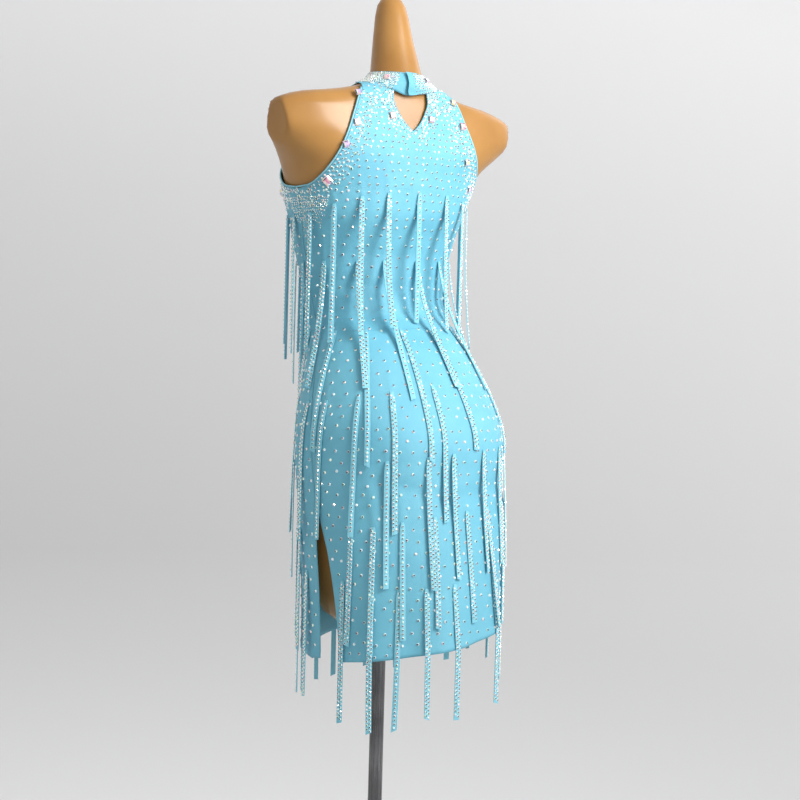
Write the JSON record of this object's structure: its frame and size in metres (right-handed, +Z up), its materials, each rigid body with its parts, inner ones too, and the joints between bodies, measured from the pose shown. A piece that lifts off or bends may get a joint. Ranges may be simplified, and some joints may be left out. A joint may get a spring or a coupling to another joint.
{
  "type": "halter tassel dress on a limbless dress form with a pole stand",
  "caption": "Close-fitting pale blue halter dance dress with rows of stone-set tassel strips and a back keyhole, worn on a limbless dress form on a pole stand.",
  "frame": {"origin": "centre of the base plate's underside, on the floor", "axes": "+Z up the pole, +X towards the form's left side, +Y towards its back, -Y towards its front"},
  "size_m": [0.416, 0.3829, 1.5653],
  "materials": {
    "dress_cloth": "pale blue stretch knit with small stones",
    "fringe_cloth": "pale blue knit strips set with small stones",
    "form_shell": "glossy tan shell",
    "stand_steel": "dark grey brushed steel",
    "stones": "clear cut glass with a rainbow coating"
  },
  "bodies": {
    "root": {"armhole_binding_left": "dress_cloth", "armhole_binding_right": "dress_cloth", "back_panel": "dress_cloth", "base_plate": "stand_steel", "base_socket": "stand_steel", "dress_form": "form_shell", "form_flange": "stand_steel", "fringe_row_1": "fringe_cloth", "fringe_row_2": "fringe_cloth", "fringe_row_3": "fringe_cloth", "fringe_row_4": "fringe_cloth", "fringe_row_5": "fringe_cloth", "fringe_row_6": "fringe_cloth", "fringe_row_7": "fringe_cloth", "front_panel": "dress_cloth", "neck_band": "dress_cloth", "neck_tab": "dress_cloth", "pole": "stand_steel", "stone_armhole_left": "stones", "stone_armhole_right": "stones", "stone_band_back": "stones", "stone_band_front": "stones", "stone_band_front_left": "stones", "stone_band_left": "stones", "stone_bust_side_left": "stones", "stone_bust_side_right": "stones", "stone_keyhole_left": "stones", "stone_keyhole_right": "stones", "stone_neck_left": "stones", "stone_neck_right": "stones", "stone_shoulder_left": "stones", "stone_shoulder_right": "stones", "stone_underarm_left": "stones", "stone_underarm_right": "stones"}
  },
  "joints": []
}
